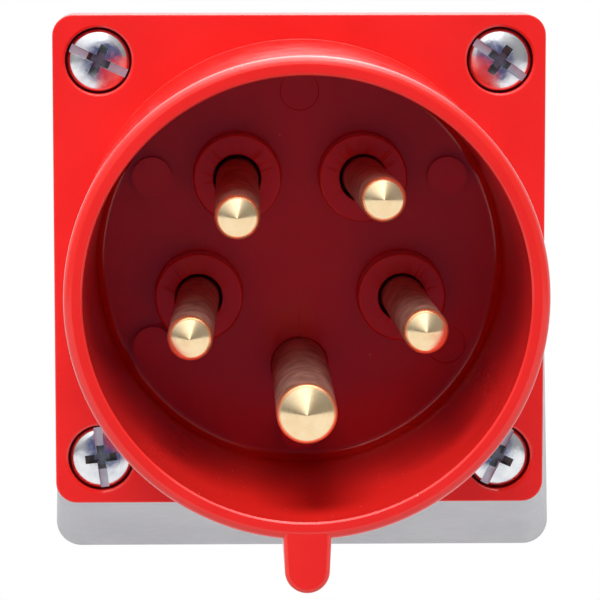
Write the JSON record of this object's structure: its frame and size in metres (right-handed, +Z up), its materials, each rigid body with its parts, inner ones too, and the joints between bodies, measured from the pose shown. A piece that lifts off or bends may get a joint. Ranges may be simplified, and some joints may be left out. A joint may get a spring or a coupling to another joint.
{
  "type": "generator inlet box",
  "caption": "Wall-mounted power inlet: angled box with a square flange and a round collar round brass pins, for a generator's cable connector.",
  "frame": {"origin": "on the back face of the wall box, midway between its top and bottom edges, on the centre plane of the inlet", "axes": "+Y into the wall, square to the back face; +Z up; +X to the right as seen from the front; the inlet faces -Y and 20 degrees downwards"},
  "size_m": [0.078, 0.1191, 0.0967],
  "materials": {
    "red_plastic": "moulded, glossy",
    "grey_plastic": "moulded, satin",
    "dark_plastic": "moulded, satin",
    "black_rubber": "matte",
    "brass": "turned, bright",
    "zinc": "zinc plated"
  },
  "bodies": {
    "inlet_body": {"wall_box": "grey_plastic", "front_housing": "red_plastic", "flange_gasket": "black_rubber", "contact_carrier": "dark_plastic", "cable_grommet": "black_rubber", "carrier_screw_1": "zinc", "carrier_screw_2": "zinc", "carrier_screw_3": "zinc", "thread_insert_top_left": "brass", "thread_insert_top_right": "brass", "thread_insert_bottom_left": "brass", "thread_insert_bottom_right": "brass", "pin_earth": "brass", "clamp_screw_earth_1": "zinc", "clamp_screw_earth_2": "zinc"},
    "contact_upper_left": {"pin_upper_left": "brass", "clamp_screw_upper_left_1": "zinc", "clamp_screw_upper_left_2": "zinc"},
    "contact_upper_right": {"pin_upper_right": "brass", "clamp_screw_upper_right_1": "zinc", "clamp_screw_upper_right_2": "zinc"},
    "contact_left": {"pin_left": "brass", "clamp_screw_left_1": "zinc", "clamp_screw_left_2": "zinc"},
    "contact_right": {"pin_right": "brass", "clamp_screw_right_1": "zinc", "clamp_screw_right_2": "zinc"},
    "seal_top_left": {"screw_seal_top_left": "black_rubber"},
    "screw_top_left": {"cover_screw_top_left": "zinc"},
    "seal_top_right": {"screw_seal_top_right": "black_rubber"},
    "screw_top_right": {"cover_screw_top_right": "zinc"},
    "seal_bottom_left": {"screw_seal_bottom_left": "black_rubber"},
    "screw_bottom_left": {"cover_screw_bottom_left": "zinc"},
    "seal_bottom_right": {"screw_seal_bottom_right": "black_rubber"},
    "screw_bottom_right": {"cover_screw_bottom_right": "zinc"}
  },
  "joints": [
    {"name": "pin_upper_left_tilt", "type": "hinge", "parent": "inlet_body", "child": "contact_upper_left", "pos_m": [-0.00888, -0.06835, 0.00735], "axis": [0.9986, 0.0179, -0.0492], "range_deg": [-6.2, 0.2]},
    {"name": "pin_upper_right_tilt", "type": "hinge", "parent": "inlet_body", "child": "contact_upper_right", "pos_m": [0.00888, -0.06835, 0.00735], "axis": [-0.1736, -0.3368, 0.9254], "range_deg": [-5, 1.4]},
    {"name": "pin_left_tilt", "type": "hinge", "parent": "inlet_body", "child": "contact_left", "pos_m": [-0.01436, -0.06257, -0.00851], "axis": [0.788, 0.2106, -0.5785], "range_deg": [-5.2, 1.2]},
    {"name": "pin_right_tilt", "type": "hinge", "parent": "inlet_body", "child": "contact_right", "pos_m": [0.01436, -0.06257, -0.00851], "axis": [0.2079, -0.3345, 0.9192], "range_deg": [-5.2, 1.2]},
    {"name": "screw_top_left_lift", "type": "slide", "parent": "inlet_body", "child": "seal_top_left", "axis": [0, -0.9397, -0.342], "range_m": [0, 0.00455]},
    {"name": "screw_top_left_turn", "type": "hinge", "parent": "seal_top_left", "child": "screw_top_left", "pos_m": [-0.0285, -0.07077, 0.0238], "axis": [0, -0.9397, -0.342], "range_deg": [0, 2341]},
    {"name": "screw_top_right_lift", "type": "slide", "parent": "inlet_body", "child": "seal_top_right", "axis": [0, -0.9397, -0.342], "range_m": [0, 0.00455]},
    {"name": "screw_top_right_turn", "type": "hinge", "parent": "seal_top_right", "child": "screw_top_right", "pos_m": [0.0285, -0.07077, 0.0238], "axis": [0, -0.9397, -0.342], "range_deg": [0, 2341]},
    {"name": "screw_bottom_left_lift", "type": "slide", "parent": "inlet_body", "child": "seal_bottom_left", "axis": [0, -0.9397, -0.342], "range_m": [0, 0.00455]},
    {"name": "screw_bottom_left_turn", "type": "hinge", "parent": "seal_bottom_left", "child": "screw_bottom_left", "pos_m": [-0.0285, -0.05127, -0.02976], "axis": [0, -0.9397, -0.342], "range_deg": [0, 2341]},
    {"name": "screw_bottom_right_lift", "type": "slide", "parent": "inlet_body", "child": "seal_bottom_right", "axis": [0, -0.9397, -0.342], "range_m": [0, 0.00455]},
    {"name": "screw_bottom_right_turn", "type": "hinge", "parent": "seal_bottom_right", "child": "screw_bottom_right", "pos_m": [0.0285, -0.05127, -0.02976], "axis": [0, -0.9397, -0.342], "range_deg": [0, 2341]}
  ],
  "couplings": [
    {"joint": "screw_top_left_turn", "follows": "screw_top_left_lift", "rad_per_m": 8976},
    {"joint": "screw_top_right_turn", "follows": "screw_top_right_lift", "rad_per_m": 8976},
    {"joint": "screw_bottom_left_turn", "follows": "screw_bottom_left_lift", "rad_per_m": 8976},
    {"joint": "screw_bottom_right_turn", "follows": "screw_bottom_right_lift", "rad_per_m": 8976}
  ]
}
